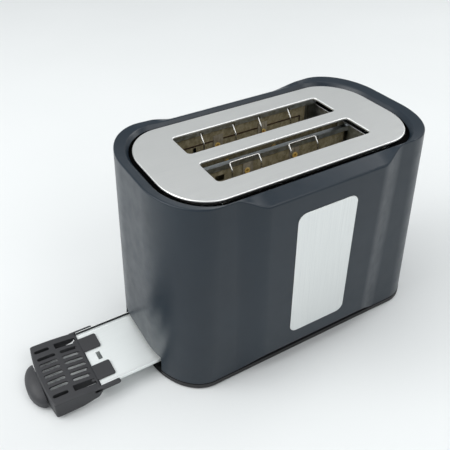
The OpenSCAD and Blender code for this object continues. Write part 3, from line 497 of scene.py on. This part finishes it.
def shell_mesh():
    """Moulding with a dished rim round the top and an arched lower edge, open above and below."""
    crest_z, valley_z, shelf_z, shelf_low = 174.4, 170.8, 167.4, 165.8
    low = half_length(RIM_LOW)

    def body(length, inset=0):
        return outline(length - inset, HALF_WIDTH - inset, CORNER_X - inset, CORNER_Y - inset, BULGE)

    def rim(inset_x, inset_y):
        """Outline inside the bulges, drawn in from the crest of the rim."""
        return outline(113.4 - inset_x, 64.8 - inset_y, 37.4 - inset_x, 50 - inset_y, 0)

    valley, shelf, under = rim(2.8, 2.8), rim(8.5, 10.6), rim(-1.2, -1.2)
    # each ring of the section with the radius its edge is rounded to
    section = ((level(body(low), RIM_LOW, ARCH), 0.8), (level(body(HALF_TOP), HEIGHT, -DROP), 1.6),
               (level(rim(0, 0), crest_z), 1.0), (level(valley, valley_z), 0.5),
               (level(valley, shelf_z), 0.3), (level(shelf, shelf_z), 0.3),
               (level(shelf, shelf_low), 0), (level(under, shelf_low), 0),
               (level(under, crest_z - WALL, -DROP / 3), 0),
               (level(body(HALF_TOP, WALL), HEIGHT - WALL, -DROP), 0),
               (level(body(low, WALL), RIM_LOW, ARCH), 0.5))
    rings, radii = zip(*section)
    bm = bmesh.new()
    skin(bm, [cornered(list(column), radii, 5) for column in zip(*rings)])
    mesh = from_bmesh(bm, "shell_uncut")

    cuts = bmesh.new()
    left = -half_length(0) - 1
    tray_mouth = rounded_rectangle(72.6, 40, 1)
    prism(cuts, tray_mouth, lambda u, v, w: Vector((left + w, u, v + 0.7)), 13)
    end = HALF_TOP - 4
    depth = half_length(0) + 1 - end
    middle = LEVER_Z - LEVER_TRAVEL / 2
    lever_slot, shaft_hole = rounded_rectangle(6.4, LEVER_TRAVEL + 10, 3), rounded_rectangle(7.6, 7.6, 3.7)
    prism(cuts, lever_slot, lambda u, v, w: Vector((end + w, u, v + middle)), depth)
    prism(cuts, shaft_hole, lambda u, v, w: Vector((end + w, u, v + KNOB_Z)), depth)
    for i in (-1, 0, 1):
        prism(cuts, rounded_rectangle(10.6, 7.8, 1.5),
              lambda u, v, w: Vector((end + w, u + i * BUTTON_PITCH, v + BUTTON_Z)), depth)
    face = -HALF_WIDTH - BULGE + BADGE_SINK
    prism(cuts, rounded_rectangle(BADGE_SIZE[0] + 0.6, BADGE_SIZE[1] + 0.6, 7.3, 12),
          lambda u, v, w: Vector((u, face - w, v + BADGE_Z)), 3)
    return minus(mesh, cuts, "shell_mesh")


def plate_mesh():
    """Pressed sheet: a rounded outer skirt, two slots with turned-down rims, flat between."""
    top, low, sheet, rim, edge, tuck = 173.6, 167.5, 0.8, 1.8, 1.0, 4.5
    half_l, half_w, corner_x, corner_y = 108.1, 57.7, 33, 42
    slot_l, slot_w, slot_y, slot_corner = 140, 29.6, 22.3, 3.5

    def rectangle(grow, z):
        length, width = 2 * (half_l + grow), 2 * (half_w + grow)
        return [Vector((x, y, z)) for x, y in
                rounded_rectangle(length, width, corner_x + grow, 36, corner_y + grow)]

    def slot(side, grow, z):
        return [Vector((x, y + side * slot_y, z)) for x, y in
                rounded_rectangle(slot_l + 2 * grow, slot_w + 2 * grow, slot_corner + grow, 10)]

    def rolled(loop, sign, r, height):
        """Rings of a quarter-round edge that ends vertical, from the flat top outwards or inwards."""
        return [loop(sign * (r * sin(t) - r), height - r + r * cos(t))
                for t in (pi / 2 * i / 6 for i in range(7))]

    bm = bmesh.new()
    skirt = rolled(rectangle, 1, edge, top) + [rectangle(0, top - 1.2), rectangle(-0.5, top - 1.7)]
    skirt += [rectangle(-tuck, top - 1.8), rectangle(-tuck, low)]
    skirt += [rectangle(-tuck - sheet, low), rectangle(-tuck - sheet, top - sheet)]
    walls = [ring_wall(bm, skirt)]
    for side in (-1, 1):
        here = lambda grow, z: slot(side, grow, z)
        lip = [here(0, top - rim), here(sheet, top - rim), here(sheet, top - sheet)]
        walls.append(ring_wall(bm, rolled(here, -1, edge, top) + lip))
    fill_between(bm, walls)
    return from_bmesh(bm, "plate_mesh")


def second_finish(piece, finish, chosen):
    """Gives a piece's chosen faces another finish."""
    piece.data.materials.append(finishes[finish].material)
    for face in piece.data.polygons:
        if chosen(face.center / MM, face.normal):
            face.material_index = 1
    return piece


def in_groove(place, normal):
    """The shell's faces in the groove round the top plate, which take a near-black finish as painted shade.
    """
    return 164 < place.z < 171 and abs(place.x) < 112 and abs(place.y) < 64


def make_case():
    shell = new_piece("shell", shell_mesh(), "chassis", "shell_plastic", nodes=["outer_shell"])
    # The groove's faces take the near-black finish: painted shade.
    second_finish(shell, "groove_painted_shade", in_groove)
    soften(shell, 0.25)
    soften(new_piece("top_sheet", plate_mesh(), "chassis", "brushed_aluminium", nodes=["top_plate"]))
    refined("badge_plate", "chassis", "badge_aluminium", 0.3)
    refined("base_plate", "chassis", "base_plastic", 0.3)
    refined("feet", "chassis", "foot_rubber", 0.25)
    refined("cord_gland", "chassis", "base_plastic", 0.3)
    refined("control_panel", "chassis", "panel_black", 0.25)
    for side in ("left", "right"):
        end_frame = refined(side + "_end_frame", "chassis", "zinc_steel", 0.0)
        # The frames' top edges take the near-white finish: painted highlight.
        second_finish(end_frame, "painted_edge_highlight", lambda place, normal: place.z > 164.5)


# Wires and springs -------------------------------------------------------------------


def make_wires():
    """Pairs of hairpins down both walls of each slot: where they stand, how high and how far out."""
    foot, radius = 36, 0.7
    outer = ([(-42.5, -12), (13.3, 43.7)], 168.6, 1.2, 6.2)
    inner = [(-43, -16.5), (12, 38.5)]
    walls = (("front_outer", -42, 1, *outer), ("rear_outer", 42, -1, *outer),
             ("front_inner", -5, -1, inner, 165.05, 1.6, 4.6), ("rear_inner", 5, 1, inner, 167.45, 1.6, 4.6))
    for name, face, way, pairs, top, start, reach in walls:
        bm = bmesh.new()
        for x0, x1 in pairs:
            near, far = face + way * start, face + way * (start + reach)
            turn = top - reach - 0.6
            corners = [Vector(p) for p in ((x0, far, foot), (x0, far, turn), (x0, near, top),
                                           (x1, near, top), (x1, far, turn), (x1, far, foot))]
            tube(bm, cornered(corners, [0, 2.2, 1.7, 1.7, 2.2, 0], 5, closed=False), radius)
        new_piece("hairpins_" + name, from_bmesh(bm, "hairpins", 60), "chassis", "wire_steel",
                  nodes=["guard_wires_" + name])


def make_spring():
    low, high, radius, wire, turns, rod = 22.2, 110.6, 4.4, 0.5, 17, 97
    path = []
    steps = turns * 28
    for i in range(steps + 1):
        t = i / steps
        rise = low + wire + (high - low - 2 * wire) * t
        angle = 2 * pi * turns * t
        path.append(Vector((rod + radius * cos(angle), radius * sin(angle), rise)))
    bm = bmesh.new()
    tube(bm, path, wire, 8)
    coil = from_bmesh(bm, "spring", 60)
    spring = new_piece("spring", coil, "chassis", "wire_steel", nodes=["return_spring"])
    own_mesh(spring)


# Controls ----------------------------------------------------------------------------


def make_knob():
    x0 = half_length(KNOB_Z - KNOB_RADIUS) + 2
    r = KNOB_RADIUS
    profile = [(r - 0.5, 0, 0), (r, 0.5, 0), (r, 2.6, 0), (r - 0.5, 3.2, 0), (r - 1.5, 4, 1),
               (r - 2.2, 8, 1), (r - 2.9, 11.6, 1), (r - 3.4, 12.7, 0.4), (r - 4.4, 13.4, 0),
               (r - 5, 13.5, 0), (r - 6.5, 13.2, 0), (r - 9, 13.0, 0), (1, 12.9, 0)]
    bm = bmesh.new()
    lathe(bm, profile, Vector((x0, 0, KNOB_Z)), 192, ribs=32, rib_depth=0.5)
    shaft, shaft_end = 3, 112
    lathe(bm, [(shaft, shaft_end - x0, 0), (shaft, 0.5, 0)], Vector((x0, 0, KNOB_Z)), 32)
    turned = from_bmesh(bm, "knob")
    soften(new_piece("knob", turned, "browning_control", "control_plastic", nodes=["browning_knob"]))
    marks = bmesh.new()
    pointer = rounded_rectangle(1.3, 6.4, 0.6, 6)
    prism(marks, pointer, lambda u, v, w: Vector((x0 + 12.9 + w, u, KNOB_Z + 7.4 + v)), 0.35)
    new_piece("knob_mark", from_bmesh(marks, "knob_mark"), "browning_control", "control_plastic",
              "print_white")


def make_scale():
    """Printed browning scale: bars round the knob that grow from light to dark toast."""
    normal = Vector((cos(END_SLOPE), 0, sin(END_SLOPE)))
    up = Vector((-sin(END_SLOPE), 0, cos(END_SLOPE)))
    across = Vector((0, 1, 0))
    panel_z, panel_thick, ring = 57, 1.2, 19.3
    middle = Vector((half_length(panel_z) + 0.08, 0, panel_z)) + normal * panel_thick
    bm = bmesh.new()
    for i in range(7):
        angle = radians(-135 + 45 * i)
        out = Vector((sin(angle), cos(angle)))
        size = 0.7 + 0.3 * i
        bar = rounded_rectangle(size, 1.8, 0.3, 3)

        def place(u, v, w):
            y, z = out.x * (ring + v) + out.y * u, out.y * (ring + v) - out.x * u
            return middle + up * (KNOB_Z - panel_z + z) + across * y + normal * w

        prism(bm, bar, place, 0.05)
    new_piece("browning_scale", from_bmesh(bm, "browning_scale"), "chassis", "panel_black", "print_white")


def make_controls():
    make_knob()
    make_scale()
    for key in ("cancel", "reheat", "defrost"):
        refined(key + "_button", key + "_key", "control_plastic", 0.5, 3)
    refined("lever_knob", "carriage", "control_plastic", 0.9, 4, angle=25)
    refined("lever_arm", "carriage", "dark_sheet", 0.2)
    refined("carriage_slider", "carriage", "handle_plastic", 0.4, finish="moulded_part")


# Crumb tray --------------------------------------------------------------------------


HANDLE_OUT, HANDLE_IN, HANDLE_HALF, HANDLE_BOW = -216, -177.3, 34.5, 3
CROWN_TOP, CROWN_RADIUS, SKIN, HANDLE_WALL = 17.2, 245, 1.4, 2.2


def crown(x):
    """Height of the handle's top, an arc that falls towards the tray."""
    return CROWN_TOP - CROWN_RADIUS + (CROWN_RADIUS ** 2 - (x - HANDLE_OUT) ** 2) ** 0.5


def handle_foot(x):
    """Height of the lower edge of the handle's side walls."""
    steps = ((-240, 2.5), (-195, 2.5), (-188, 4.2), (-181, 5.6), (HANDLE_IN, 10.8), (-100, 10.8))
    for (x0, z0), (x1, z1) in zip(steps, steps[1:]):
        if x <= x1:
            return z0 + (z1 - z0) * (x - x0) / (x1 - x0)


def handle_loop(inset, z, steps=24):
    """Plan of the handle drawn in by inset: straight sides and a bowed outer edge."""
    bow = (HANDLE_HALF ** 2 + HANDLE_BOW ** 2) / (2 * HANDLE_BOW)
    half = HANDLE_HALF - inset
    edge = []
    for i in range(steps + 1):
        y = half * (1 - 2 * i / steps)
        edge.append(Vector((HANDLE_OUT - HANDLE_BOW + inset + bow - (bow ** 2 - y ** 2) ** 0.5, y, z)))
    points = edge + [Vector((HANDLE_IN - inset, -half, z)), Vector((HANDLE_IN - inset, half, z))]
    radii = [0] * len(points)
    radii[0] = radii[steps] = max(2.4 - inset, 0.3)
    radii[-1] = radii[-2] = 0.3
    return cornered(points, radii, 6)


def handle_holes():
    """Centre, length, width and corner radius of every opening in the handle's top."""
    holes = []
    for side in (-1, 1):
        for i in range(3):
            for x in (HANDLE_OUT + 9, HANDLE_OUT + 28):
                holes.append((x, side * 6.65 * (i + 0.5), 15, 3.3, 1.6))
        holes.append((HANDLE_OUT + 7.7, side * 25.5, 12.4, 3.3, 1.6))
        holes.append((HANDLE_OUT + 27.4, side * 25, 18, 5.9, 0.5))
    return holes


def handle_mesh():
    """Hollow cover with a crowned, slotted top: drawn flat, then bent over the crown."""
    bm = bmesh.new()
    edge, lip, low, step = 1.3, 0.35, -14, 2.5
    turned = [(edge - edge * sin(t), edge * cos(t) - edge) for t in (pi / 2 * i / 6 for i in range(7))]
    section = turned + [(0, low + 0.4), (0.4, low), (HANDLE_WALL - 0.4, low)]
    section += [(HANDLE_WALL, low + 0.4), (HANDLE_WALL, -SKIN)]
    walls = [ring_wall(bm, [handle_loop(inset, z) for inset, z in section], 1)]
    turned_in = [(lip - lip * sin(t), lip * cos(t) - lip) for t in (pi / 2 * i / 3 for i in range(4))]
    for x, y, length, width, radius in handle_holes():
        def ring(grow, z):
            return [Vector((x + u, y + v, z)) for u, v in
                    rounded_rectangle(length + 2 * grow, width + 2 * grow, radius + grow, 6)]

        walls.append(ring_wall(bm, [ring(grow, z) for grow, z in turned_in + [(0, -SKIN)]], 1))
    fill_between(bm, walls)
    x = HANDLE_OUT - HANDLE_BOW + step
    while x < HANDLE_IN:
        bmesh.ops.bisect_plane(bm, geom=bm.verts[:] + bm.edges[:] + bm.faces[:], plane_co=(x, 0, 0),
                               plane_no=(1, 0, 0))
        x += step
    for vert in bm.verts:
        x, z = vert.co.x, vert.co.z
        if z < -SKIN:
            share = (z + SKIN) / (low + SKIN)
            vert.co.z = (crown(x) - SKIN) * (1 - share) + handle_foot(x) * share
        else:
            vert.co.z = crown(x) + z
        vert.co *= MM
    return from_bmesh(bm, "handle_mesh")


def grip_mesh():
    """Half dome on the handle's outer edge, hollow underneath."""
    edge, out, half, top, side, low, inset = HANDLE_OUT - HANDLE_BOW, 11, 21.7, 16, 8, 3, 1.8
    bm = bmesh.new()

    def column(t):
        def point(scale, z):
            return Vector((edge - (out - (1 - scale) * half) * sin(t), half * scale * cos(t), z))
        dome = [Vector((edge - out * sin(t) * sin(f), half * cos(t) * sin(f), side + (top - side) * cos(f)))
                for f in (pi / 2 * i / 14 for i in range(1, 15))]
        thin = 1 - inset / half
        return dome + [point(1, low + 0.4), point(1 - 0.4 / half, low), point(thin, low), point(thin, side)]

    steps = 48
    columns = [[bm.verts.new(p * MM) for p in column(pi * i / steps)] for i in range(steps + 1)]
    peak = bm.verts.new(Vector((edge, 0, top)) * MM)
    for one, two in zip(columns, columns[1:]):
        bm.faces.new((peak, one[0], two[0]))
        for k in range(len(one) - 1):
            bm.faces.new((one[k], one[k + 1], two[k + 1], two[k]))
    bm.faces.new([column[-1] for column in columns])
    bm.faces.new([peak] + columns[0] + columns[-1][::-1])
    return from_bmesh(bm, "grip_mesh", 40)


def make_handle():
    """Cover and grip, with the clips, the ribs inside and the walls behind the two square windows."""
    soften(new_piece("handle_cover", handle_mesh(), "crumb_tray", "handle_plastic", nodes=["tray_handle"]))
    soften(new_piece("handle_grip", grip_mesh(), "crumb_tray", "handle_plastic"))
    parts = bmesh.new()
    arm_end, arm_z, arm_half, arm_thick = HANDLE_IN + 13.5, 12.8, 2, 2.35
    tip = [(arm_half * cos(t), arm_half * sin(t)) for t in (pi / 2 - pi * i / 10 for i in range(11))]
    arm = [(arm_end + u, arm_z + v) for u, v in tip] + [(-184, 10.8), (-184, 14.2), (-181.5, 14.8)]
    for side in (-1, 1):
        prism(parts, arm, lambda u, v, w: Vector((u, side * (HANDLE_HALF - w), v)), arm_thick)
        prism(parts, rounded_rectangle(20, 16, 1.6, 5),
              lambda u, v, w: Vector((-172.4 + u, side * 16.8 + v, 12.55 + w)), 1.4)
        rib = [(-216.5, 7), (-178.5, 7), (-178.5, crown(-178.5) - 1), (-190, crown(-190) - 1),
               (-203, crown(-203) - 1), (-216.5, crown(-216) - 1)]
        prism(parts, rib, lambda u, v, w: Vector((u, side * 20.5 - 0.8 + w, v)), 1.6)
        prism(parts, rounded_rectangle(10.6, 7, 0.6, 2),
              lambda u, v, w: Vector((-179.5 + w, side * 26.6 + u, 9.1 + v)), 1.2)
    soften(new_piece("handle_arms", from_bmesh(parts, "handle_arms"), "crumb_tray", "handle_plastic"), 0.4, 3)


def tray_mesh():
    """Folded sheet: turned-up sides with a raised band beside each, a lip at the inner end."""
    half, top, thick, lip, band, rise = 32.1, 12.5, 0.8, 15.1, 2.2, 0.3
    start, length = HANDLE_IN + 0.3, 174.5
    side = [(half - thick - band - 0.5, top), (half - thick - band, top + rise), (half - thick, top + rise),
            (half - thick, lip), (half, lip), (half, top - thick)]
    section = [(-y, z) for y, z in side] + [(y, z) for y, z in reversed(side)]
    radii = [0.6, 0.4, 0.7, 0.35, 0.35, 0.9]
    loop = cornered([Vector((0, y, z)) for y, z in section], radii + radii[::-1], 5)
    bm = bmesh.new()
    prism(bm, [(p.y, p.z) for p in loop], lambda u, v, w: Vector((start + w, u, v)), length)
    inside = half - thick
    end_lip = [(-inside, top - 0.3), (inside, top - 0.3), (inside, lip), (-inside, lip)]
    prism(bm, end_lip, lambda u, v, w: Vector((-3.3 + w, u, v)), 0.75)
    prism(bm, rounded_rectangle(38, 38.4, 1), lambda u, v, w: Vector((-195.5 + u, v, top - thick + w)), thick)
    cuts = bmesh.new()
    prism(cuts, rounded_rectangle(3.6, 9, 0.4, 4), lambda u, v, w: Vector((-167.6 + u, v, 10 + w)), 5)
    return minus(from_bmesh(bm, "tray_uncut"), cuts, "tray_mesh")


def make_tray():
    sheet = new_piece("tray_sheet", tray_mesh(), "crumb_tray", "zinc_steel", "tray_steel", ["tray_plate"])
    # The turned-up sides' inner faces take the dark finish: painted shade.
    second_finish(sheet, "flange_painted_shade", lambda place, normal: normal.y * place.y < 0 and abs(normal.y) > 0.7
                  and place.z > 12.9)
    soften(sheet)
    make_handle()


def paint_rest():
    """CAD nodes that keep their own shape take the finish of their material slot."""
    slots = {part["node"]: part["material_slot"] for part in frame["record"]["subparts"]}
    for name, node in frame["nodes"].items():
        node.data.materials.clear()
        node.data.materials.append(finishes[slots[name]].material)


def make_floor():
    bm = bmesh.new()
    bmesh.ops.create_grid(bm, x_segments=24, y_segments=24, size=4)
    floor_finish = Finish("pale_floor", (0.8, 0.82, 0.82), 0.7)
    tone = floor_finish.noise(cube_scale(3), 2)
    floor_finish.colours(tone, (0.3, 0.79, 0.81, 0.81), (0.7, 0.81, 0.83, 0.83))
    floor_finish.bump(floor_finish.noise(cube_scale(900), 3), 0.00001)
    mesh = from_bmesh(bm, "floor")
    mesh.materials.append(floor_finish.material)
    floor = bpy.data.objects.new("floor", mesh)
    scene.collection.objects.link(floor)


make_case()
make_wires()
make_spring()
make_controls()
make_tray()
paint_rest()
make_floor()
